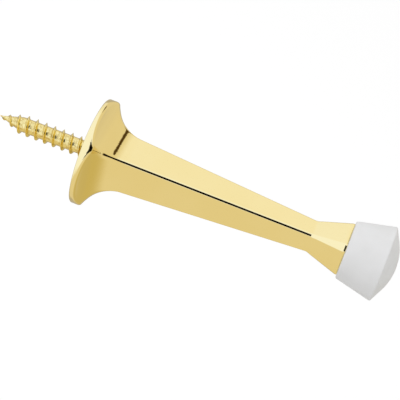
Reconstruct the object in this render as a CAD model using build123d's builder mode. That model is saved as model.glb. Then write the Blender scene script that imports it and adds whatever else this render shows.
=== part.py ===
from build123d import *
from math import atan2, ceil, cos, degrees, radians, sin, sqrt, tan
import os

# A rigid door stop that screws into a skirting board or a wall, in millimetres.
# The origin is the centre of the flange's back, on the screw's axis.
# +X runs out from the wall along the stem, +Z is up, and the screw points to -X.

# Overall
projection = 76.2               # wall to the tip of the bumper

# Round flange of the cast body
flange_diameter = 25.9
flange_edge = 1.2               # height of the straight edge where the coves are deepest
flange_back_chamfer = 0.4       # bevel where the edge meets the wall
crease_chamfer = 0.45           # bevel where the edge meets the coves
wall_rim_width = 1.8            # ring of the back that bears on the wall
back_recess_depth = 0.6
boss_diameter = 10.0            # boss round the screw, flush with the ring
bore_mouth_chamfer = 0.7

# Square stem with coved faces
stem_root_side = 10.7           # its tapered sides carried back to the flange
waist_side = 5.75
cove_radius = 9.4
waist_radius = 3.0
stem_edge_radius = 0.75         # rounding of the four long edges

# Flared head
head_length = 8.75
head_diameter = 12.35
head_face_side = 10.0           # across two opposite flats, at the front
head_rim_chamfer = 0.3
head_land_rise = 0.05           # how far the turned lands start above the stem's edges

# Bumper and its socket
bumper_length = 12.25           # head to tip
bumper_rear_diameter = 14.0
bumper_rim_diameter = 18.2
bumper_nose_angle = 26.5        # slope of the nose, in degrees
bumper_tip_radius = 13.0
bumper_rear_chamfer = 0.3
bumper_rim_chamfer = 0.2
socket_diameter = 4.5
socket_depth = 5.0
plug_gap = 0.02                 # between the plug and the socket, all round
plug_end_gap = 0.5
plug_lead_in = 0.5

# Wood screw
screw_reach = 23.15             # wall face to the point
thread_diameter = 4.9
thread_root_diameter = 3.5
thread_pitch = 2.225
thread_flank_angle = 30.0       # each flank from square to the axis, in degrees
thread_sink = 0.15              # how deep the ridge reaches into the core
point_length = 5.8
thread_start_angle = -109.0     # of the crest at the shoulder, from +Y towards +Z, in degrees
point_thread_end = 0.45         # size of the ridge where it runs out, as a share
thread_start = 0.25             # how far outside the wall face the thread begins
shortest_turn = 0.1             # a last piece of thread shorter than this is left out
shank_diameter = 4.0            # plain end, pressed into the body
shank_length = 12.0
shank_gap = 0.01                # between the shank and its bore, all round
shank_end_gap = 0.3
shank_chamfer = 0.4

# Places and radii that follow from the sizes
flange_radius = flange_diameter / 2
head_front = projection - bumper_length
waist_x = head_front - head_length
waist_corner = waist_side / sqrt(2) - (sqrt(2) - 1) * stem_edge_radius
head_cone_start = waist_corner + head_land_rise
thread_radius = thread_diameter / 2
root_radius = thread_root_diameter / 2
point_shoulder = point_length - screw_reach
bore_radius = shank_diameter / 2 + shank_gap
bore_depth = shank_length + shank_end_gap


# Outline of the body seen square to one of its faces: edge, cove, taper, waist and flare
def coved_outline(plane):
    outside = flange_radius + cove_radius
    with BuildSketch(plane) as outline:
        with BuildLine():
            FilletPolyline(
                (0, 0),
                (0, outside),
                (flange_edge, outside),
                (flange_edge, stem_root_side / 2),
                (waist_x, waist_side / 2),
                (head_front, head_face_side / 2),
                (head_front, 0),
                radius=[0, 0, cove_radius, waist_radius, 0],
            )
            Line((head_front, 0), (0, 0))
        make_face()
        front_corner = (head_front, head_face_side / 2)
        chamfer(outline.vertices().sort_by_distance(front_corner)[0], length=head_rim_chamfer)
        mirror(about=Plane.XZ)
    return outline.sketch


# An edge that lies along one of the stem's four corners
def on_a_corner(edge):
    middle = edge.position_at(0.5)
    return abs(abs(middle.Y) - abs(middle.Z)) < 1e-3 and abs(middle.Y) > 1


# An edge that lies on the flange's cylinder, clear of its back
def on_the_crease(edge):
    ends = [edge.position_at(share) for share in (0, 0.5, 1)]
    on_cylinder = all(abs(sqrt(end.Y**2 + end.Z**2) - flange_radius) < 1e-3 for end in ends)
    return on_cylinder and min(end.X for end in ends) > flange_edge / 2


# Cast body: two coved extrusions crossed, trimmed round at the flange and at the head
with BuildPart() as body:
    extrude(coved_outline(Plane.XZ), amount=flange_diameter, both=True)
    extrude(coved_outline(Plane.XY), amount=flange_diameter, both=True, mode=Mode.INTERSECT)
    with BuildSketch(Plane.YZ):
        Circle(flange_radius)
    extrude(amount=head_front, mode=Mode.INTERSECT)
    fillet(body.edges().filter_by(on_a_corner), radius=stem_edge_radius)

    # The lands of the head are what a cone leaves of the flared corners
    with BuildSketch(Plane.XZ) as head_cone:
        with BuildLine():
            Polyline(
                (0, 0),
                (0, flange_diameter),
                (waist_x, head_cone_start),
                (head_front, head_diameter / 2),
                (head_front, 0),
                close=True,
            )
        make_face()
        front_corner = (head_front, head_diameter / 2)
        chamfer(head_cone.vertices().sort_by_distance(front_corner)[0], length=head_rim_chamfer)
    revolve(axis=Axis.X, mode=Mode.INTERSECT)

    chamfer(body.edges().filter_by(on_the_crease), length=crease_chamfer)
    back_edge = body.faces().sort_by(Axis.X)[0].edges().filter_by(GeomType.CIRCLE)
    chamfer(back_edge, length=flange_back_chamfer)

    # Hollow back with a rim that bears on the wall and a boss round the screw
    with BuildSketch(Plane.YZ):
        Circle(flange_radius - wall_rim_width)
        Circle(boss_diameter / 2, mode=Mode.SUBTRACT)
    extrude(amount=back_recess_depth, mode=Mode.SUBTRACT)

    with BuildSketch(Plane.YZ):
        Circle(bore_radius)
    extrude(amount=bore_depth, mode=Mode.SUBTRACT)
    bore_mouth = body.edges().filter_by(GeomType.CIRCLE).filter_by_position(Axis.X, -0.01, 0.01)
    chamfer(bore_mouth.sort_by(SortBy.RADIUS)[0], length=bore_mouth_chamfer)

    with BuildSketch(Plane.YZ.offset(head_front - socket_depth)):
        Circle(socket_diameter / 2)
    extrude(amount=socket_depth, mode=Mode.SUBTRACT)

body.part.label = "body"

# Rubber bumper: one turned shape with the plug that is pressed into the head
nose_angle = radians(bumper_nose_angle)
tip_edge_radius = bumper_tip_radius * sin(nose_angle)
tip_edge_x = projection - bumper_tip_radius * (1 - cos(nose_angle))
rim_x = tip_edge_x - (bumper_rim_diameter / 2 - tip_edge_radius) * tan(nose_angle)
tip_half_angle = nose_angle / 2
tip_middle = (
    projection - bumper_tip_radius * (1 - cos(tip_half_angle)),
    bumper_tip_radius * sin(tip_half_angle),
)
plug_radius = socket_diameter / 2 - plug_gap
plug_end = head_front - socket_depth + plug_end_gap

with BuildPart() as bumper:
    with BuildSketch(Plane.XZ) as bumper_profile:
        with BuildLine():
            Polyline(
                (projection, 0),
                (plug_end, 0),
                (plug_end, plug_radius),
                (head_front, plug_radius),
                (head_front, bumper_rear_diameter / 2),
                (rim_x, bumper_rim_diameter / 2),
                (tip_edge_x, tip_edge_radius),
            )
            ThreePointArc((tip_edge_x, tip_edge_radius), tip_middle, (projection, 0))
        make_face()
        corners = bumper_profile.vertices().sort_by(Axis.Y)
        chamfer(corners[-1], length=bumper_rim_chamfer)
    revolve(axis=Axis.X)
    rear_face = bumper.faces().filter_by(Plane.YZ).sort_by(Axis.X)[-1]
    chamfer(rear_face.edges().sort_by(SortBy.RADIUS)[-1], length=bumper_rear_chamfer)
    plug_face = bumper.faces().filter_by(Plane.YZ).sort_by(Axis.X)[0]
    chamfer(plug_face.edges(), length=plug_lead_in)

bumper.part.label = "bumper"


# Section of the thread's ridge, square to its path at a share of the way along
def ridge_section(path, share, size):
    spot = path @ share
    outward = Vector(0, spot.Y, spot.Z).normalized()
    crest = (thread_radius - root_radius) * size
    sunk = -thread_sink * size
    half_base = (crest - sunk) * tan(radians(thread_flank_angle))
    with BuildSketch(Plane(origin=spot, x_dir=outward, z_dir=path % share)) as section:
        with BuildLine():
            Polyline((sunk, -half_base), (crest, 0), (sunk, half_base), close=True)
        make_face()
    return section.sketch


# Up to one turn of the ridge, from x towards +X or -X, on a core that may taper
def ridge(x, core_radius, length, towards, taper=0.0, sizes=(1.0, 1.0)):
    path = Helix(
        pitch=thread_pitch,
        height=length,
        radius=core_radius,
        center=(x, 0, 0),
        direction=(towards, 0, 0),
        cone_angle=-taper,
    )
    with BuildPart() as turn:
        ends = [ridge_section(path, share, size) for share, size in enumerate(sizes)]
        sweep(ends, path=path, is_frenet=True, multisection=True)
    start = path @ 0
    return Rot(X=thread_start_angle - degrees(atan2(start.Z, start.Y))) * turn.part


# The thread starts at the shoulder of the point and winds both ways from there
thread_length = -thread_start - point_shoulder
thread_turns = []
for turn in range(ceil((thread_length - shortest_turn) / thread_pitch)):
    along = turn * thread_pitch
    length = min(thread_pitch, thread_length - along)
    thread_turns.append(ridge(point_shoulder + along, root_radius, length, 1))

point_taper = degrees(atan2(root_radius, point_length))
point_turns = int(point_length // thread_pitch)
shrink = (1 - point_thread_end) / max(point_turns, 1)
for turn in range(point_turns):
    along = turn * thread_pitch
    core_radius = root_radius * (1 - along / point_length)
    sizes = (1 - shrink * turn, 1 - shrink * (turn + 1))
    thread_turns.append(
        ridge(point_shoulder - along, core_radius, thread_pitch, -1, point_taper, sizes)
    )

# Wood screw: core with a gimlet point, coarse right-hand thread and a plain pressed end
with BuildPart() as wood_screw:
    with BuildSketch(Plane.XZ):
        with BuildLine():
            Polyline(
                (-screw_reach, 0),
                (point_shoulder, root_radius),
                (0, root_radius),
                (0, shank_diameter / 2),
                (shank_length, shank_diameter / 2),
                (shank_length, 0),
                close=True,
            )
        make_face()
    revolve(axis=Axis.X)
    shank_end = wood_screw.faces().sort_by(Axis.X)[-1]
    chamfer(shank_end.edges(), length=shank_chamfer)
    for turn in thread_turns:
        add(turn)

wood_screw.part.label = "wood_screw"

os.makedirs("parts", exist_ok=True)
export_step(body.part, "parts/body.step")
export_step(bumper.part, "parts/bumper.step")
export_step(wood_screw.part, "parts/wood_screw.step")
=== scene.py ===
from math import acos, asin, atan2, cos, hypot, pi, radians, sin, sqrt, tan

import bmesh
import bpy
from bpy.props import FloatProperty, FloatVectorProperty, PointerProperty
from bpy.types import Operator, Panel, PropertyGroup
from mathutils import Matrix, Vector


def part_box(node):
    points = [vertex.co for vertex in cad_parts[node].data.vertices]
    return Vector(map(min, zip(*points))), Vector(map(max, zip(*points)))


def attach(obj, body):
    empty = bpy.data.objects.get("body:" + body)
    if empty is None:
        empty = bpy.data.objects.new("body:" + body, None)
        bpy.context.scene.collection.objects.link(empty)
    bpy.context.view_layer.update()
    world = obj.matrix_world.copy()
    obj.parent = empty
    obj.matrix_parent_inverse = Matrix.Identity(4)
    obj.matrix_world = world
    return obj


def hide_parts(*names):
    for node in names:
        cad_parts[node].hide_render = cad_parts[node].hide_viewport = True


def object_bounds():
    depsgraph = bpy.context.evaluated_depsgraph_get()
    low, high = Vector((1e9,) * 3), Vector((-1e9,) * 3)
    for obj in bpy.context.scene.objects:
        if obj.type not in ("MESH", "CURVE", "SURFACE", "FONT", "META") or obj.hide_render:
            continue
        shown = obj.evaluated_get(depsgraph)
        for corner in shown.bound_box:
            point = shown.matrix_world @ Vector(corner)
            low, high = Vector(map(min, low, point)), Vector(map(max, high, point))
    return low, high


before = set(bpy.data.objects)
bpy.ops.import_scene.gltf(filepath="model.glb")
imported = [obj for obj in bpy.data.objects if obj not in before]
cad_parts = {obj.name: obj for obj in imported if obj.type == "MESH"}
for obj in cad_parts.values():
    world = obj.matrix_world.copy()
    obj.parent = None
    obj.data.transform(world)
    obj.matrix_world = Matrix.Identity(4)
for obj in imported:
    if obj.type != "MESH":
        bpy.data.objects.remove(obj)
cad_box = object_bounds()

bl_info = {
    "name": "Rigid Door Stop",
    "version": (1, 0, 0),
    "blender": (4, 5, 0),
    "location": "3D View > Sidebar > Door Stop",
    "description": "A cast brass door stop with its wood screw and rubber bumper, in a studio",
    "category": "Add Mesh",
}

# Corners of the solids, which some of the sizes below start from
BODY_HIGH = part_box("body")[1]
SCREW_LOW, SCREW_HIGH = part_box("wood_screw")
BUMPER_LOW, BUMPER_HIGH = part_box("bumper")

MERGE_DISTANCE = 1e-7           # points nearer than this become one
SHARP_ANGLE = radians(38)       # edges that turn by less are shaded smooth
CRISP_EDGE = 0.00003            # strip that keeps the border between two slopes crisp
STEEPEST_SLOPE = radians(89)    # where a search along a cove ends
SLOPE_NUDGE = 1e-4              # step between two slopes that shows a cove's direction
SWEEP_POWER = 3                 # the higher, the later the long edges' rounding grows
CREASE_CLEARANCE = 1.5          # last square ring's corners to the flange's edge, in crease radii
NO_ROUND_LIMIT = 1              # a circle too wide to trim anything
SEARCH_STEPS = 50               # halvings of a search's span

# How finely the pieces are divided
FLAT_COLUMNS = 9
CORNER_COLUMNS = 12
FLAT_SHARE = 0.85               # place of the edge flat's own column, from its middle to its side
FLANGE_STEPS = 9
CREASE_STEPS = 7
COVE_STEPS = 30
STEM_STEPS = 14
WAIST_STEPS = 9
HEAD_STEPS = 13
THREAD_STEPS = 72
FLANK_CUTS = 2
LATHE_STEPS = 144
TIP_STEPS = 12
EDGE_SEGMENTS = 3
CORNER_SEGMENTS = 4

# Parts of the tent that the metal mirrors. Each is a direction, given along the stop, towards
# the camera and up across both, and the span of its cosine over which the part sets in.
PAST_SEAM = (0.79, -0.41, -0.46), (-0.34, -0.06)
WALL_CORNER = (0.70, -0.60, -0.39), (0.70, 0.99)
FRONT_GLOW = (-0.6, 0.75, 0.25), (0.17, 0.57)

# The same for the opening's top and bottom, where it ends, and how far its rim goes on
OPENING_TOP = (0.2, 0, 1), (0.34, 0.38)
OPENING_BOTTOM = (0.25, 0, -1), (0.33, 0.37)
OPENING_RIM = 0.04

# The same with the values at the two ends of the span
SETS_IN, FADES_OUT = (0, 1), (1, 0)
BEHIND = (
    ((-0.35, -0.94, 0), (0.18, 0.36), (0, 0.1)),
    ((-0.35, -0.94, 0), (0.60, 0.76), (0, 0.85)),
)
SEAM_LIMITS = (
    ((0.79, 0.26, -0.46), (-0.115, -0.085), FADES_OUT),
    ((0.79, -0.73, -0.46), (-0.045, -0.015), SETS_IN),
    ((1, 0, 0), (0.15, 0.28), SETS_IN),
    ((0, 1, 0), (-0.50, -0.40), SETS_IN),
)
OPENING_SIDES = (
    ((1, 0, 0), (-0.14, -0.10), SETS_IN),
    ((0, 1, 0), (0.0, 0.2), SETS_IN),
)

FLOOR_SIZE = 3
CAMERA_CLIP = 0.01, 10


def length(name, description, default):
    return FloatProperty(
        name=name,
        description=description,
        default=default,
        min=0,
        precision=5,
        subtype="DISTANCE",
        unit="LENGTH",
    )


def angle(name, description, default):
    return FloatProperty(
        name=name, description=description, default=default, subtype="ANGLE", unit="ROTATION"
    )


def share(name, description, default):
    return FloatProperty(
        name=name, description=description, default=default, min=0, max=1, subtype="FACTOR"
    )


def position(name, description, default):
    return FloatVectorProperty(
        name=name, description=description, default=default, subtype="TRANSLATION", unit="LENGTH"
    )


def colour(name, description, default):
    return FloatVectorProperty(
        name=name, description=description, default=default, size=3, min=0, max=1, subtype="COLOR"
    )


def light(name, description, default):
    return FloatVectorProperty(
        name=name, description=description, default=default, size=3, min=0, subtype="COLOR"
    )


class BodySizes(PropertyGroup):
    """Sizes of the cast body, whose flange lies in the wall's plane at x = 0."""

    flange_radius: length("Flange Radius", "Radius of the round flange", BODY_HIGH.z)
    flange_edge: length("Flange Edge", "Where the coves would meet the flange", 0.0012)
    crease_radius: length("Crease Radius", "Rounding between the edge and the coves", 0.0008)
    back_bevel: length("Back Bevel", "Rounding of the edge beside the wall", 0.0004)
    wall_rim_width: length("Wall Rim Width", "Ring that bears on the wall", 0.0018)
    recess_depth: length("Recess Depth", "Depth of the hollow back", 0.0006)
    boss_radius: length("Boss Radius", "Boss round the screw, level with the ring", 0.005)
    bore_radius: length("Bore Radius", "Bore for the screw's plain end", 0.00201)
    bore_mouth: length("Bore Mouth", "Bevel at the mouth of the bore", 0.0007)
    bore_depth: length("Bore Depth", "Depth of the bore from the wall", 0.0123)
    root_side: length("Root Side", "Stem's side, carried back to the flange", 0.0107)
    waist_side: length("Waist Side", "Stem's side where it is thinnest", 0.00575)
    cove_radius: length("Cove Radius", "Radius of the coves", 0.0094)
    waist_radius: length("Waist Radius", "Rounding between the stem and the head", 0.003)
    edge_radius: length("Edge Radius", "Rounding of the stem's four long edges", 0.00075)
    cove_rounding: length("Cove Rounding", "Extra rounding of those edges at the flange", 0.00135)
    edge_flat: length("Edge Flat", "Narrow polished flat along those edges", 0.00043)
    head_front: length("Head Front", "Wall to the front of the head", BODY_HIGH.x)
    head_length: length("Head Length", "Waist to the front of the head", 0.0083)
    head_radius: length("Head Radius", "Radius of the turned lands at the front", 0.00624)
    head_side: length("Head Side", "Across two flats of the head's front", 0.01)
    land_rise: length("Land Rise", "How far the lands start above the edges", 0.00005)
    land_bevel: length("Land Bevel", "Rounding between the lands and the flats", 0.00045)
    rim_band: length("Rim Band", "Straight rim at the head's front", 0.0005)
    rim_bevel: length("Rim Bevel", "Rounding of the head's front rim", 0.00005)
    small_bevel: length("Small Bevel", "Rounding of the hollow back's edges", 0.00012)
    socket_radius: length("Socket Radius", "Socket for the bumper's plug", 0.00225)
    socket_depth: length("Socket Depth", "Depth of the socket", 0.005)


class ScrewSizes(PropertyGroup):
    """Sizes of the wood screw, which points to -X."""

    reach: length("Reach", "Wall to the point", -SCREW_LOW.x)
    crest_radius: length("Crest Radius", "Radius of the thread's crest", 0.00245)
    root_radius: length("Root Radius", "Radius between the turns", 0.00175)
    pitch: length("Pitch", "Distance from turn to turn", 0.002225)
    flank_angle: angle("Flank Angle", "Each flank from square to the axis", radians(28))
    crest_width: length("Crest Width", "Flat on the thread's crest", 0.00008)
    valley_bevel: length("Valley Bevel", "Rounding where the flanks meet the core", 0.0001)
    point_length: length("Point Length", "Length of the gimlet point", 0.0058)
    start_angle: angle("Start Angle", "Of the crest at the point's start, Y to Z", radians(-109))
    point_share: share("Point Share", "Height of the ridge where it runs out", 0.45)
    run_out: length("Run Out", "Length over which the thread ends at the wall", 0.0005)
    shank_radius: length("Shank Radius", "Radius of the plain end in the body", 0.002)
    shank_bevel: length("Shank Bevel", "Bevel of the plain end", 0.0004)
    shank_end: length("Shank End", "Wall to the end of the plain end", SCREW_HIGH.x)


class BumperSizes(PropertyGroup):
    """Sizes of the rubber bumper, turned about the X axis."""

    tip: length("Tip", "Wall to the tip", BUMPER_HIGH.x)
    rear_radius: length("Rear Radius", "Radius at the head", 0.007)
    rim_radius: length("Rim Radius", "Radius of the rim before it is rounded", 0.0091)
    nose_angle: angle("Nose Angle", "Slope of the nose", radians(26.5))
    tip_radius: length("Tip Radius", "Radius of the rounded tip", 0.013)
    rear_bevel: length("Rear Bevel", "Rounding beside the head", 0.0004)
    rim_bevel: length("Rim Bevel", "Rounding of the rim", 0.00026)
    plug_radius: length("Plug Radius", "Radius of the plug in the head", 0.00223)
    plug_end: length("Plug End", "Wall to the end of the plug", BUMPER_LOW.x)
    plug_bevel: length("Plug Bevel", "Lead-in of the plug", 0.0005)


class Finishes(PropertyGroup):
    """Colours of the finishes, and the light that the floor adds."""

    brass: colour("Brass", "Polished brass plating", (0.88, 0.75, 0.36))
    brass_warm: colour("Warm Brass", "Where the plating is a little thinner", (0.87, 0.735, 0.34))
    screw: colour("Screw Brass", "Bright plating of the screw", (0.88, 0.74, 0.30))
    # Painted shade: the darker colour laid into the valleys between the screw's turns
    screw_valley_shade: colour("Dull Screw Brass", "Between the turns", (0.62, 0.46, 0.14))
    rubber: colour("Rubber", "White rubber", (0.83, 0.83, 0.83))
    rubber_grey: colour("Grey Rubber", "Faint clouds in the rubber", (0.80, 0.80, 0.795))
    floor: colour("Floor", "Pale floor", (0.80, 0.80, 0.80))
    floor_lift: share("Floor Lift", "Light that the floor adds where it is seen", 0.3)


class Studio(PropertyGroup):
    """Camera, floor, lamp and tent of the studio."""

    camera_place: position("Camera Place", "Where the camera stands", (0.0599, -0.25366, 0.23799))
    camera_turn: FloatVectorProperty(
        name="Camera Turn",
        description="How the camera is turned",
        default=(radians(45.624), radians(-11.802), radians(18.447)),
        subtype="EULER",
        unit="ROTATION",
    )
    camera_lens: FloatProperty(
        name="Lens", description="Focal length", default=135, subtype="DISTANCE_CAMERA"
    )
    floor_height: FloatProperty(
        name="Floor Height",
        description="Height of the floor, below the stop as it is fixed to a wall",
        default=-0.16,
        subtype="DISTANCE",
        unit="LENGTH",
    )
    lamp_place: position("Lamp Place", "Where the soft lamp hangs", (-0.25, -0.1, 0.7))
    lamp_size: length("Lamp Size", "Side of the soft lamp", 0.6)
    lamp_power: FloatProperty(
        name="Lamp Power", description="Power of the soft lamp", default=1.3, min=0, unit="POWER"
    )
    tent_tilt: angle("Tent Tilt", "How high the tent's opening stands", radians(43.4))
    tent_roof: light("Tent Roof", "Roof and front of the tent", (1.05, 1.04, 1.09))
    tent_wall: light("Tent Wall", "Warmer wall past the seam", (0.87, 0.79, 0.63))
    tent_corner: light("Tent Corner", "Where two warm walls meet", (0.67, 0.56, 0.27))
    tent_back: light("Tent Back", "Behind the stop", (0.50, 0.46, 0.42))
    tent_front: light("Tent Front", "Brighter front, on the wall's side", (1.09, 1.16, 1.48))
    tent_seam: light("Tent Seam", "Seam, and the opening's rim", (0.09, 0.05, 0.01))
    tent_dark: light("Tent Dark", "Opening for the camera", (0.004, 0.003, 0.002))
    soft_light: light("Soft Light", "Light from all sides", (0.77, 0.77, 0.77))


def solve(function, low, high):
    """Where a function that has opposite signs at low and high comes to zero."""
    rising = function(high) > 0
    for _ in range(SEARCH_STEPS):
        middle = (low + high) / 2
        if (function(middle) > 0) == rising:
            high = middle
        else:
            low = middle
    return (low + high) / 2


def rounded(shape, items, width, segments, affect="EDGES"):
    """Rounds edges of a shape, or verts of an outline."""
    bmesh.ops.bevel(
        shape,
        geom=items,
        offset=width,
        offset_type="OFFSET",
        segments=segments,
        profile=0.5,
        affect=affect,
        material=-1,
    )


def extrude_ring(shape, edges):
    """Extrudes a ring of edges, and gives the new ring's verts and edges."""
    made = bmesh.ops.extrude_edge_only(shape, edges=edges)["geom"]
    verts = [item for item in made if isinstance(item, bmesh.types.BMVert)]
    edges = [item for item in made if isinstance(item, bmesh.types.BMEdge)]
    ring = set(verts)
    return verts, [edge for edge in edges if ring.issuperset(edge.verts)]


def wire(shape, places):
    """An open line of edges through places (x, radius), in the half-plane above the X axis."""
    verts = [shape.verts.new((x, radius, 0)) for x, radius in places]
    for start, end in zip(verts, verts[1:]):
        shape.edges.new((start, end))
    return verts


def move_to(vert, x, radius):
    """Moves a vert to a place on the X axis, and straight out or in to a radius."""
    scale = radius / hypot(vert.co.y, vert.co.z)
    vert.co = (x, vert.co.y * scale, vert.co.z * scale)


def add_object(name, data):
    """Makes an object and links it to the scene."""
    made = bpy.data.objects.new(name, data)
    bpy.context.scene.collection.objects.link(made)
    return made


def add_piece(name, shape, material, node):
    """Makes an object of a closed bmesh, in its own place, which stands for a solid."""
    bmesh.ops.remove_doubles(shape, verts=shape.verts, dist=MERGE_DISTANCE)
    bmesh.ops.recalc_face_normals(shape, faces=shape.faces)
    for face in shape.faces:
        face.smooth = True
    for edge in shape.edges:
        edge.smooth = edge.calc_face_angle(0) < SHARP_ANGLE
    if any(not edge.is_manifold for edge in shape.edges):
        raise RuntimeError(f"{name} isn't closed")
    mesh = bpy.data.meshes.new(name)
    shape.to_mesh(mesh)
    shape.free()
    mesh.materials.append(material)
    piece = add_object(name, mesh)
    weighted = piece.modifiers.new("Weighted Normals", "WEIGHTED_NORMAL")
    weighted.keep_sharp = True
    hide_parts(node)
    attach(piece, "root")


class Tube:
    """A closed shape made ring by ring along X, each ring extruded from the one before."""

    def __init__(self, count):
        self.shape = bmesh.new()
        bmesh.ops.create_circle(self.shape, radius=1, segments=count)
        self.column = self.shape.verts.layers.int.new("column")
        self.verts = list(self.shape.verts)
        self.edges = list(self.shape.edges)
        for index, vert in enumerate(self.verts):
            vert[self.column] = index
        self.started = False
        self.bevels = {}

    def add(self, places, bevel=0):
        """Adds a ring at the given places, whose edges are rounded at the end."""
        if self.started:
            self.verts, self.edges = extrude_ring(self.shape, self.edges)
        self.started = True
        for vert in self.verts:
            vert.co = places[vert[self.column]]
        if bevel:
            self.bevels.setdefault(bevel, []).extend(self.edges)

    def close(self, x):
        """Gathers a ring into one point on the axis."""
        self.add([Vector((x, 0, 0))] * len(self.verts))

    def finish(self):
        """Merges the closed ends, rounds the edges that ask for it and gives the shape."""
        bmesh.ops.remove_doubles(self.shape, verts=self.shape.verts, dist=MERGE_DISTANCE)
        for width, edges in self.bevels.items():
            rounded(self.shape, edges, width, EDGE_SEGMENTS)
        return self.shape


class SideOutline:
    """The body's outline seen square to one of its flat sides: cove, taper, waist and flare.

    A slope is how much the outline leans towards the axis on its way from the wall.
    """

    def __init__(self, sizes):
        self.sizes = sizes
        self.waist = sizes.waist_side / 2
        self.waist_x = sizes.head_front - sizes.head_length
        root = sizes.root_side / 2
        self.taper = atan2(root - self.waist, self.waist_x - sizes.flange_edge)
        self.band_x = sizes.head_front - sizes.rim_band
        self.flare = atan2(sizes.head_side / 2 - self.waist, self.band_x - self.waist_x)
        self.cove_x = sizes.flange_edge + sizes.cove_radius
        self.cove_side = root + sizes.cove_radius * (1 / cos(self.taper) - tan(self.taper))

    def on_cove(self, slope):
        """Place (x, half side) on the cove at a slope."""
        x = self.cove_x - self.sizes.cove_radius * sin(slope)
        return x, self.cove_side - self.sizes.cove_radius * cos(slope)

    def swept(self, slope):
        """How far the long edges have swept out, from 0 on the stem to 1 in mid-cove."""
        return sin(2 * min(max(slope - self.taper, 0), pi / 4)) ** SWEEP_POWER

    def rounding(self, slope):
        """The long edges' rounding, which grows as they sweep out to the flange."""
        return self.sizes.edge_radius * cos(slope) + self.sizes.cove_rounding * self.swept(slope)

    def edge_flat(self, slope):
        """Width of the narrow flat on those edges, which fades as they sweep out."""
        return self.sizes.edge_flat * (1 - self.swept(slope))

    def stations(self, first_slope):
        """Places (x, half side, slope) from a slope in the cove to the head's front."""
        made = []
        for step in range(COVE_STEPS + 1):
            slope = first_slope + (self.taper - first_slope) * step / COVE_STEPS
            made.append((*self.on_cove(slope), slope))
        cove_end = made[-1][0]
        radius = self.sizes.waist_radius
        reach = radius * tan((self.taper + self.flare) / 2)
        arc_start = self.waist_x - reach * cos(self.taper)
        arc_x = arc_start + radius * sin(self.taper)
        arc_side = self.waist + reach * sin(self.taper) + radius * cos(self.taper)
        for step in range(1, STEM_STEPS):
            x = cove_end + (arc_start - cove_end) * step / STEM_STEPS
            made.append((x, self.waist + (self.waist_x - x) * tan(self.taper), self.taper))
        for step in range(WAIST_STEPS + 1):
            slope = self.taper - (self.taper + self.flare) * step / WAIST_STEPS
            made.append((arc_x - radius * sin(slope), arc_side - radius * cos(slope), slope))
        arc_end = made[-1][0]
        for step in range(1, HEAD_STEPS + 1):
            x = arc_end + (self.band_x - arc_end) * step / HEAD_STEPS
            made.append((x, self.waist + (x - self.waist_x) * tan(self.flare), -self.flare))
        for x in (self.band_x + CRISP_EDGE, self.sizes.head_front):
            made.append((x, made[-1][1], -self.flare))
        return made

    def spoke(self, slope, direction):
        """Place (x, radius) on a cove's ring, in a direction from a flat's middle to a corner."""
        x, side = self.on_cove(slope)
        rounding = self.rounding(slope)
        centre = side - rounding
        if direction < atan2(centre, side):
            return x, side / cos(direction)
        off = pi / 4 - direction
        diagonal = centre * sqrt(2)
        return x, diagonal * cos(off) + sqrt(rounding**2 - (diagonal * sin(off)) ** 2)

    def crease(self, direction, first_slope):
        """Slope where the crease's rounding touches the cove, and that rounding's x and lean."""
        radius = self.sizes.crease_radius

        def touch(slope):
            x, out = self.spoke(slope, direction)
            further_x, further_out = self.spoke(slope + SLOPE_NUDGE, direction)
            lean = atan2(x - further_x, further_out - out)
            return x - radius * cos(lean), out - radius * sin(lean), lean

        limit = self.sizes.flange_radius - radius
        slope = solve(lambda tried: touch(tried)[1] - limit, first_slope, STEEPEST_SLOPE)
        centre_x, _, lean = touch(slope)
        return slope, centre_x, lean


def eighth_of_ring(half_side, rounding, round_limit, bevel, edge_flat=0):
    """Places (y, z) from a flat's middle to a corner, which a circle of round_limit may trim."""
    centre = half_side - rounding
    diagonal = centre * sqrt(2)
    flat_end, first_turn, last_turn = centre, pi, pi
    inner = round_limit - bevel
    if diagonal + rounding > round_limit:
        reach = half_side - bevel
        flat_end = sqrt(inner**2 - reach**2)
        first_turn, last_turn = 0, atan2(flat_end, reach)
        if flat_end > centre:
            gap = rounding - bevel
            off = acos((inner**2 + diagonal**2 - gap**2) / (2 * inner * diagonal))
            last_turn = pi / 4 - off
            bevel_y, bevel_z = inner * cos(last_turn), inner * sin(last_turn)
            first_turn = atan2(bevel_z - centre, bevel_y - centre)
            flat_end = centre
    places = [(half_side, flat_end * step / FLAT_COLUMNS) for step in range(FLAT_COLUMNS)]
    flat_turn = asin(edge_flat / 2 / rounding)
    spread = max(flat_turn, pi / 4 / CORNER_COLUMNS)
    steps = CORNER_COLUMNS - 2
    turns = [(pi / 4 - spread) * step / steps for step in range(steps + 1)]
    for turn in turns + [pi / 4 - FLAT_SHARE * spread, pi / 4]:
        radius = rounding * min(1, cos(flat_turn) / cos(pi / 4 - turn))
        away, heading = diagonal, pi / 4
        if turn >= last_turn:
            away, radius = 0, round_limit
        elif turn >= first_turn:
            away, radius, heading = inner, bevel, last_turn
        y = away * cos(heading) + radius * cos(turn)
        places.append((y, away * sin(heading) + radius * sin(turn)))
    return places


def whole_ring(eighth):
    """Mirrors the places (x, y, z) of an eighth to all eight."""
    quarter = eighth + [(x, z, y) for x, y, z in reversed(eighth[1:-1])]
    places = []
    for _ in range(4):
        places += [Vector(place) for place in quarter]
        quarter = [(x, -z, y) for x, y, z in quarter]
    return places


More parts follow.
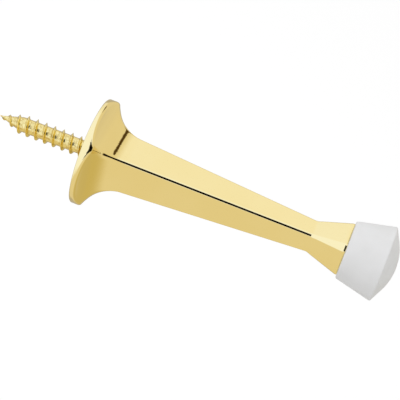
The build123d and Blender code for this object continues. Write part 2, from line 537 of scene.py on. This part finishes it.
class BodyTube(Tube):
    """The cast body, from the bore in its back to the socket in its head."""

    def __init__(self, sizes):
        super().__init__(8 * (FLAT_COLUMNS + CORNER_COLUMNS))
        self.sizes = sizes
        self.outline = SideOutline(sizes)
        last_corner = sizes.flange_radius - CREASE_CLEARANCE * sizes.crease_radius
        self.first_slope = solve(
            lambda slope: self.outline.spoke(slope, pi / 4)[1] - last_corner,
            self.outline.taper,
            STEEPEST_SLOPE,
        )
        side = self.outline.on_cove(self.first_slope)[1]
        rounding = self.outline.rounding(self.first_slope)
        first = eighth_of_ring(side, rounding, NO_ROUND_LIMIT, sizes.land_bevel)
        self.directions = [atan2(z, y) for y, z in first]

    def add_spokes(self, spokes, bevel=0):
        """Adds a ring through places (x, radius), one in each direction of the square rings."""
        eighth = [
            (x, out * cos(direction), out * sin(direction))
            for (x, out), direction in zip(spokes, self.directions)
        ]
        self.add(whole_ring(eighth), bevel)

    def add_circle(self, x, radius, bevel=0):
        self.add_spokes([(x, radius)] * len(self.directions), bevel)

    def add_hollow_back(self):
        """The bore, the boss round it, the recess and the ring that bears on the wall."""
        sizes = self.sizes
        recess_radius = sizes.flange_radius - sizes.wall_rim_width
        clear_of_bevel = 2 * sizes.small_bevel
        self.close(sizes.bore_depth)
        for x, radius, bevel in (
            (sizes.bore_depth, sizes.bore_radius, 0),
            (sizes.bore_mouth, sizes.bore_radius, 0),
            (0, sizes.bore_radius + sizes.bore_mouth, 0),
            (0, sizes.boss_radius, sizes.small_bevel),
            (sizes.recess_depth, sizes.boss_radius, sizes.small_bevel),
            (sizes.recess_depth, sizes.boss_radius + clear_of_bevel, 0),
            (sizes.recess_depth, recess_radius - clear_of_bevel, 0),
            (sizes.recess_depth, recess_radius, sizes.small_bevel),
            (0, recess_radius, sizes.small_bevel),
            (0, recess_radius + clear_of_bevel, 0),
            (0, sizes.flange_radius, sizes.back_bevel),
        ):
            self.add_circle(x, radius, bevel)

    def add_flange(self):
        """The rounding between the flange's edge and the coves, and the coves' round ends."""
        radius = self.sizes.crease_radius
        first_slope = self.first_slope
        creases = [self.outline.crease(direction, first_slope) for direction in self.directions]
        for step in range(CREASE_STEPS, 0, -1):
            spokes = []
            for _, centre_x, lean in creases:
                turn = lean + (pi / 2 - lean) * step / CREASE_STEPS
                out = self.sizes.flange_radius - radius * (1 - sin(turn))
                spokes.append((centre_x + radius * cos(turn), out))
            self.add_spokes(spokes)
        for step in range(FLANGE_STEPS, 0, -1):
            part = step / FLANGE_STEPS
            self.add_spokes([
                self.outline.spoke(first_slope + (crease[0] - first_slope) * part, direction)
                for crease, direction in zip(creases, self.directions)
            ])

    def add_stem_and_head(self):
        """The coves, stem, waist and head, where a cone trims the corners to turned lands."""
        sizes, outline = self.sizes, self.outline
        waist_corner = outline.waist * sqrt(2) - (sqrt(2) - 1) * sizes.edge_radius
        cone_start = waist_corner + sizes.land_rise
        cone_rise = (sizes.head_radius - cone_start) / (outline.band_x - outline.waist_x)
        for x, half_side, slope in outline.stations(self.first_slope):
            round_limit, bevel = sizes.flange_radius, sizes.land_bevel
            if x > outline.waist_x:
                past_waist = min(x, outline.band_x) - outline.waist_x
                round_limit = cone_start + past_waist * cone_rise
                bevel *= 1 + past_waist / sizes.head_length
            flat = outline.edge_flat(slope)
            eighth = eighth_of_ring(half_side, outline.rounding(slope), round_limit, bevel, flat)
            self.add(whole_ring([(x, y, z) for y, z in eighth]))
        self.bevels[sizes.rim_bevel] = list(self.edges)

    def add_socket(self):
        sizes = self.sizes
        socket_end = sizes.head_front - sizes.socket_depth
        self.add_circle(sizes.head_front, sizes.socket_radius)
        self.add_circle(socket_end, sizes.socket_radius)
        self.close(socket_end)


def body_shape(sizes):
    """The cast body: hollow back, round flange, coved square stem and flared head."""
    body = BodyTube(sizes)
    body.add_hollow_back()
    body.add_flange()
    body.add_stem_and_head()
    body.add_socket()
    return body.finish()


def draw_turn(shape, sizes, crest_x):
    """Draws one turn of the thread from the side, with its crest between two rounded valleys."""
    depth = sizes.crest_radius - sizes.root_radius
    crest = sizes.crest_width / 2
    foot = crest + depth * tan(sizes.flank_angle)
    verts = wire(shape, [
        (crest_x - sizes.pitch / 2, sizes.root_radius),
        (crest_x - foot, sizes.root_radius),
        (crest_x - crest, sizes.crest_radius),
        (crest_x + crest, sizes.crest_radius),
        (crest_x + foot, sizes.root_radius),
        (crest_x + sizes.pitch / 2, sizes.root_radius),
    ])
    rounded(shape, [verts[1], verts[4]], sizes.valley_bevel, CORNER_SEGMENTS, "VERTICES")
    flanks = [
        edge for edge in shape.edges
        if abs(edge.verts[0].co.y - edge.verts[1].co.y) > depth / 2
    ]
    bmesh.ops.subdivide_edges(shape, edges=flanks, cuts=FLANK_CUTS)


def spin_turns(shape, sizes, turns):
    """Winds the outline round the axis and along it, from the point towards the wall."""
    turned = Matrix.Rotation(sizes.start_angle, 3, "X")
    bmesh.ops.rotate(shape, verts=shape.verts, cent=(0, 0, 0), matrix=turned)
    bmesh.ops.spin(
        shape,
        geom=shape.verts[:] + shape.edges[:],
        cent=(0, 0, 0),
        axis=(1, 0, 0),
        dvec=(sizes.pitch / THREAD_STEPS, 0, 0),
        angle=2 * pi * turns,
        steps=THREAD_STEPS * turns,
        use_merge=False,
        use_duplicate=False,
    )


def taper_turns(shape, sizes, shoulder):
    """Ends the turns at the wall, and draws them in from the shoulder to the gimlet point."""
    point_end = shoulder - int(sizes.point_length / sizes.pitch) * sizes.pitch
    for vert in shape.verts:
        x = min(max(vert.co.x, -sizes.reach), 0)
        ridge = max(hypot(vert.co.y, vert.co.z) - sizes.root_radius, 0)
        core = sizes.root_radius * min((x + sizes.reach) / sizes.point_length, 1)
        if x < shoulder:
            ridge *= 1 - (1 - sizes.point_share) * (shoulder - x) / (shoulder - point_end)
            ridge = min(ridge, core)
        ridge *= min(-x / sizes.run_out, 1)
        move_to(vert, x, core + max(ridge, 0))
    bmesh.ops.remove_doubles(shape, verts=shape.verts, dist=MERGE_DISTANCE)


def add_shank(shape, sizes):
    """The plain end in the body, extruded from the core's open end at the wall."""
    edges = [edge for edge in shape.edges if edge.is_boundary]
    for x, radius in (
        (0, sizes.shank_radius),
        (sizes.shank_end - sizes.shank_bevel, sizes.shank_radius),
        (sizes.shank_end, sizes.shank_radius - sizes.shank_bevel),
        (sizes.shank_end, 0),
    ):
        verts, edges = extrude_ring(shape, edges)
        for vert in verts:
            move_to(vert, x, radius)


def screw_shape(sizes):
    """The wood screw: one turn's outline is spun along the axis, then drawn in to a point."""
    shape = bmesh.new()
    shoulder = sizes.point_length - sizes.reach
    spare_turns = 2 + int(sizes.point_length / sizes.pitch)
    first_crest = shoulder - spare_turns * sizes.pitch
    draw_turn(shape, sizes, first_crest)
    spin_turns(shape, sizes, int((sizes.pitch - first_crest) / sizes.pitch) + 1)
    taper_turns(shape, sizes, shoulder)
    add_shank(shape, sizes)
    return shape


def bumper_shape(sizes, head_front):
    """The bumper: its outline is spun once round the axis."""
    shape = bmesh.new()
    tip_edge_radius = sizes.tip_radius * sin(sizes.nose_angle)
    tip_edge = sizes.tip - sizes.tip_radius * (1 - cos(sizes.nose_angle))
    rim = tip_edge - (sizes.rim_radius - tip_edge_radius) * tan(sizes.nose_angle)
    places = [
        (sizes.plug_end, 0),
        (sizes.plug_end, sizes.plug_radius),
        (head_front, sizes.plug_radius),
        (head_front, sizes.rear_radius),
        (rim, sizes.rim_radius),
    ]
    for step in range(TIP_STEPS, -1, -1):
        turn = sizes.nose_angle * step / TIP_STEPS
        x = sizes.tip - sizes.tip_radius * (1 - cos(turn))
        places.append((x, sizes.tip_radius * sin(turn)))
    _, plug_corner, _, rear_corner, rim_corner, *_ = wire(shape, places)
    for corner, width in (
        (plug_corner, sizes.plug_bevel),
        (rear_corner, sizes.rear_bevel),
        (rim_corner, sizes.rim_bevel),
    ):
        rounded(shape, [corner], width, CORNER_SEGMENTS, "VERTICES")
    bmesh.ops.spin(
        shape,
        geom=shape.verts[:] + shape.edges[:],
        cent=(0, 0, 0),
        axis=(1, 0, 0),
        angle=2 * pi,
        steps=LATHE_STEPS,
        use_merge=True,
        use_duplicate=False,
    )
    return shape


class Nodes:
    """Adds nodes to a node tree and links them."""

    def __init__(self, tree):
        self.tree = tree
        self.tree.nodes.clear()

    def fill(self, socket, value):
        """Links another node's socket to this one, or sets its own value."""
        if isinstance(value, bpy.types.NodeSocket):
            self.tree.links.new(value, socket)
        else:
            socket.default_value = value

    def add(self, kind, inputs=None, **settings):
        made = self.tree.nodes.new("ShaderNode" + kind)
        for name, value in settings.items():
            setattr(made, name, value)
        for name, value in (inputs or {}).items():
            self.fill(made.inputs[name], value)
        return made

    def on_piece(self):
        """The piece's own coordinates, which its patterns follow."""
        return self.add("TexCoord").outputs["Object"]

    def noise(self, vector, scale, detail):
        inputs = {"Vector": vector, "Scale": scale, "Detail": detail}
        return self.add("TexNoise", inputs).outputs["Fac"]

    def stretched(self, vector, scale):
        """Coordinates scaled by (x, y, z), so that a pattern is drawn out along one of them."""
        return self.add("Mapping", {"Vector": vector, "Scale": scale}).outputs["Vector"]

    def maths(self, operation, first, second):
        made = self.add("Math", {0: first, 1: second}, operation=operation, use_clamp=True)
        return made.outputs["Value"]

    def ranged(self, value, span, to=(0, 1)):
        """Brings a value from a span to another one, smoothly and no further."""
        inputs = {
            "Value": value,
            "From Min": span[0],
            "From Max": span[1],
            "To Min": to[0],
            "To Max": to[1],
        }
        return self.add("MapRange", inputs, interpolation_type="SMOOTHSTEP").outputs["Result"]

    def mixed(self, factor, first, second):
        """Mixes two colours, each of which is a socket or a plain colour."""
        made = self.add("Mix", {"Factor": factor}, data_type="RGBA")
        for name, value in (("A", first), ("B", second)):
            socket = next(s for s in made.inputs if s.name == name and s.type == "RGBA")
            if not isinstance(value, bpy.types.NodeSocket):
                value = (*value, 1)
            self.fill(socket, value)
        return next(s for s in made.outputs if s.type == "RGBA")

    def bump(self, height, strength, distance, normal=None):
        inputs = {"Height": height, "Strength": strength, "Distance": distance}
        if normal:
            inputs["Normal"] = normal
        return self.add("Bump", inputs).outputs["Normal"]

    def seen_by(self, *rays):
        """1 for the named kinds of ray, and 0 for the others."""
        path = self.add("LightPath").outputs
        seen = path[rays[0]]
        for ray in rays[1:]:
            seen = self.maths("MAXIMUM", seen, path[ray])
        return seen

    def surface(self, inputs):
        """A principled shader with these inputs, as the whole material."""
        shader = self.add("BsdfPrincipled", inputs)
        self.add("OutputMaterial", {"Surface": shader.outputs["BSDF"]})


def new_material(name):
    material = bpy.data.materials.new(name)
    material.use_nodes = True
    return material, Nodes(material.node_tree)


def polished_brass(finishes):
    """Bright brass plating on a polished casting: faint clouds, buffing lines and slight waves."""
    material, nodes = new_material("polished_brass")
    place = nodes.on_piece()
    clouds = nodes.noise(place, scale=90, detail=3)
    lines = nodes.noise(nodes.stretched(place, (300, 9000, 9000)), scale=1, detail=3)
    waves = nodes.noise(place, scale=700, detail=2)
    fine = nodes.bump(lines, strength=0.1, distance=0.000001)
    nodes.surface({
        "Base Color": nodes.mixed(
            nodes.ranged(clouds, (0.35, 0.7)), finishes.brass, finishes.brass_warm
        ),
        "Metallic": 1.0,
        "Roughness": nodes.ranged(lines, (0.3, 0.75), to=(0.025, 0.05)),
        "Normal": nodes.bump(waves, strength=0.5, distance=0.00003, normal=fine),
    })
    return material


def plated_screw(finishes, sizes):
    """Bright plating of a rolled screw, with rolling marks and painted shade between the turns."""
    material, nodes = new_material("screw_brass")
    place = nodes.on_piece()
    flat = nodes.add("VectorMath", {0: place, 1: (0, 1, 1)}, operation="MULTIPLY")
    out = nodes.add("VectorMath", {0: flat.outputs["Vector"]}, operation="LENGTH").outputs["Value"]
    # Painted shade: the colour darkens from mid-flank down into the valleys between the turns,
    # broken up by the grain
    mid_flank = (sizes.root_radius + sizes.crest_radius) / 2
    depth = nodes.ranged(out, (sizes.root_radius, mid_flank), to=(1, 0))
    grain = nodes.noise(place, scale=1800, detail=4)
    valley_shade = nodes.maths("MULTIPLY", depth, nodes.ranged(grain, (0.35, 0.7)))
    marks = nodes.noise(nodes.stretched(place, (3000, 1600, 1600)), scale=1, detail=3)
    nodes.surface({
        "Base Color": nodes.mixed(valley_shade, finishes.screw, finishes.screw_valley_shade),
        "Metallic": 1.0,
        "Roughness": nodes.ranged(grain, (0.3, 0.8), to=(0.08, 0.2)),
        "Normal": nodes.bump(marks, strength=0.5, distance=0.00005),
    })
    return material


def white_rubber(finishes):
    """Soft white moulded rubber: faint clouds and a fine matt grain."""
    material, nodes = new_material("white_rubber")
    place = nodes.on_piece()
    clouds = nodes.noise(place, scale=160, detail=3)
    grain = nodes.noise(place, scale=3500, detail=2)
    nodes.surface({
        "Base Color": nodes.mixed(
            nodes.ranged(clouds, (0.35, 0.7)), finishes.rubber, finishes.rubber_grey
        ),
        "Roughness": nodes.ranged(grain, (0.3, 0.7), to=(0.5, 0.62)),
        "Specular IOR Level": 0.35,
        "Subsurface Weight": 0.15,
        "Subsurface Radius": (0.001, 0.001, 0.001),
        "Subsurface Scale": 1.0,
        "Normal": nodes.bump(grain, strength=0.2, distance=0.00002),
    })
    return material


def pale_floor(finishes):
    """Matt floor that looks white where the light is full, and still shows shadows."""
    material, nodes = new_material("pale_floor")
    seen = nodes.seen_by("Is Camera Ray", "Is Glossy Ray", "Is Transmission Ray")
    matt = nodes.add("BsdfDiffuse", {"Color": (*finishes.floor, 1)})
    strength = nodes.ranged(seen, (0, 1), to=(0, finishes.floor_lift))
    lift = nodes.add("Emission", {"Color": (1, 1, 1, 1), "Strength": strength})
    both = nodes.add("AddShader", {0: matt.outputs["BSDF"], 1: lift.outputs["Emission"]})
    nodes.add("OutputMaterial", {"Surface": both.outputs["Shader"]})
    return material


class Tent(Nodes):
    """Tones of a tent whose axes are along the stop, towards the camera and up across both."""

    def __init__(self, tree, tilt):
        super().__init__(tree)
        self.heading = self.add("TexCoord").outputs["Generated"]
        self.tilt = tilt

    def faced(self, direction, span, to=SETS_IN):
        """How far a direction is faced, as its cosine brought from a span to two values."""
        along, front, up = direction
        sine, cosine = sin(self.tilt), cos(self.tilt)
        in_world = Vector((along, up * sine - front * cosine, up * cosine + front * sine))
        inputs = {0: self.heading, 1: in_world.normalized()}
        product = self.add("VectorMath", inputs, operation="DOT_PRODUCT")
        return self.ranged(product.outputs["Value"], span, to)

    def within(self, limits):
        """Where every one of some limits (direction, span, values) is faced."""
        inside = self.faced(*limits[0])
        for limit in limits[1:]:
            inside = self.maths("MULTIPLY", inside, self.faced(*limit))
        return inside

    def opening(self, rim):
        """The camera's opening, with a rim above and below it."""
        borders = [
            (direction, (start + rim, end + rim), FADES_OUT)
            for direction, (start, end) in (OPENING_TOP, OPENING_BOTTOM)
        ]
        return self.within([*borders, *OPENING_SIDES])

    def background(self, tone):
        return self.add("Background", {"Color": tone}).outputs[0]

    def chosen(self, factor, first, second):
        """The first background where the factor is 0, and the second one where it is 1."""
        return self.add("MixShader", {0: factor, 1: first, 2: second}).outputs[0]


def studio_world(studio):
    """A pale tent that the metal mirrors, with a dark seam and a dark opening for the camera.

    The camera sees plain white, and other rays an even light.
    """
    world = bpy.data.worlds.new("studio")
    world.use_nodes = True
    tent = Tent(world.node_tree, studio.tent_tilt)
    tone = tent.mixed(tent.faced(*PAST_SEAM), studio.tent_roof, studio.tent_wall)
    tone = tent.mixed(tent.faced(*WALL_CORNER), tone, studio.tent_corner)
    for part in BEHIND:
        tone = tent.mixed(tent.faced(*part), tone, studio.tent_back)
    tone = tent.mixed(tent.within(SEAM_LIMITS), tone, studio.tent_seam)
    tone = tent.mixed(tent.faced(*FRONT_GLOW), tone, studio.tent_front)
    tone = tent.mixed(tent.opening(OPENING_RIM), tone, studio.tent_seam)
    tone = tent.mixed(tent.opening(0), tone, studio.tent_dark)

    soft, white = tent.background((*studio.soft_light, 1)), tent.background((1, 1, 1, 1))
    lit = tent.chosen(tent.seen_by("Is Glossy Ray"), soft, tent.background(tone))
    shown = tent.chosen(tent.seen_by("Is Camera Ray", "Is Transmission Ray"), lit, white)
    tent.add("OutputWorld", {"Surface": shown})
    return world


def add_floor(studio, finishes):
    shape = bmesh.new()
    bmesh.ops.create_grid(shape, x_segments=1, y_segments=1, size=FLOOR_SIZE)
    bmesh.ops.translate(shape, verts=shape.verts, vec=(0, 0, studio.floor_height))
    mesh = bpy.data.meshes.new("floor")
    shape.to_mesh(mesh)
    shape.free()
    mesh.materials.append(pale_floor(finishes))
    floor = add_object("floor", mesh)
    floor.visible_glossy = False


def add_lamp(studio):
    """A soft square lamp that looks at the stop, and that the metal doesn't mirror."""
    lamp = bpy.data.lights.new("roof_lamp", "AREA")
    lamp.size = studio.lamp_size
    lamp.energy = studio.lamp_power
    holder = add_object("roof_lamp", lamp)
    holder.location = studio.lamp_place
    middle = (cad_box[0] + cad_box[1]) / 2
    holder.rotation_mode = "QUATERNION"
    holder.rotation_quaternion = (middle - Vector(studio.lamp_place)).to_track_quat("-Z", "Y")
    holder.visible_glossy = False
    holder.visible_camera = False


def add_camera(studio):
    camera = bpy.data.cameras.new("camera")
    camera.lens = studio.camera_lens
    camera.clip_start, camera.clip_end = CAMERA_CLIP
    holder = add_object("camera", camera)
    holder.location = studio.camera_place
    holder.rotation_euler = studio.camera_turn
    bpy.context.scene.camera = holder


class DOORSTOP_OT_body(Operator):
    """Build the polished cast body"""

    bl_idname = "doorstop.body"
    bl_label = "Cast Body"
    bl_options = {"REGISTER", "UNDO"}

    def execute(self, context):
        stop = context.scene.door_stop
        material = polished_brass(stop.finishes)
        add_piece("cast_body", body_shape(stop.body), material, "body")
        return {"FINISHED"}


class DOORSTOP_OT_screw(Operator):
    """Build the bright-plated wood screw"""

    bl_idname = "doorstop.screw"
    bl_label = "Wood Screw"
    bl_options = {"REGISTER", "UNDO"}

    def execute(self, context):
        stop = context.scene.door_stop
        material = plated_screw(stop.finishes, stop.screw)
        add_piece("threaded_screw", screw_shape(stop.screw), material, "wood_screw")
        return {"FINISHED"}


class DOORSTOP_OT_bumper(Operator):
    """Build the white rubber bumper"""

    bl_idname = "doorstop.bumper"
    bl_label = "Rubber Bumper"
    bl_options = {"REGISTER", "UNDO"}

    def execute(self, context):
        stop = context.scene.door_stop
        material = white_rubber(stop.finishes)
        shape = bumper_shape(stop.bumper, stop.body.head_front)
        add_piece("rubber_bumper", shape, material, "bumper")
        return {"FINISHED"}


class DOORSTOP_OT_stage(Operator):
    """Set up the floor, the tent, the lamp and the camera"""

    bl_idname = "doorstop.stage"
    bl_label = "Studio"
    bl_options = {"REGISTER", "UNDO"}

    def execute(self, context):
        stop = context.scene.door_stop
        add_floor(stop.studio, stop.finishes)
        add_lamp(stop.studio)
        add_camera(stop.studio)
        context.scene.world = studio_world(stop.studio)
        context.scene.view_settings.view_transform = "Standard"
        return {"FINISHED"}


class DoorStop(PropertyGroup):
    """All the settings of the door stop."""

    body: PointerProperty(type=BodySizes, name="Body", description="Sizes of the body")
    screw: PointerProperty(type=ScrewSizes, name="Screw", description="Sizes of the screw")
    bumper: PointerProperty(type=BumperSizes, name="Bumper", description="Sizes of the bumper")
    finishes: PointerProperty(type=Finishes, name="Finishes", description="Colours")
    studio: PointerProperty(type=Studio, name="Studio", description="Camera, floor, lamp and tent")


class DOORSTOP_PT_panel(Panel):
    """Lists the pieces, the stage and their settings."""

    bl_idname = "DOORSTOP_PT_panel"
    bl_label = "Door Stop"
    bl_space_type = "VIEW_3D"
    bl_region_type = "UI"
    bl_category = "Door Stop"

    def draw(self, context):
        stop = context.scene.door_stop
        for operator, group in (
            (DOORSTOP_OT_body, stop.body),
            (DOORSTOP_OT_screw, stop.screw),
            (DOORSTOP_OT_bumper, stop.bumper),
            (None, stop.finishes),
            (DOORSTOP_OT_stage, stop.studio),
        ):
            box = self.layout.box()
            if operator:
                box.operator(operator.bl_idname)
            for name in group.__annotations__:
                box.prop(group, name)


CLASSES = (
    BodySizes,
    ScrewSizes,
    BumperSizes,
    Finishes,
    Studio,
    DoorStop,
    DOORSTOP_OT_body,
    DOORSTOP_OT_screw,
    DOORSTOP_OT_bumper,
    DOORSTOP_OT_stage,
    DOORSTOP_PT_panel,
)


def register():
    for item in CLASSES:
        bpy.utils.register_class(item)
    bpy.types.Scene.door_stop = PointerProperty(type=DoorStop)


def unregister():
    del bpy.types.Scene.door_stop
    for item in reversed(CLASSES):
        bpy.utils.unregister_class(item)


def main():
    register()
    bpy.ops.doorstop.body()
    bpy.ops.doorstop.screw()
    bpy.ops.doorstop.bumper()
    bpy.ops.doorstop.stage()


if __name__ == "__main__":
    main()
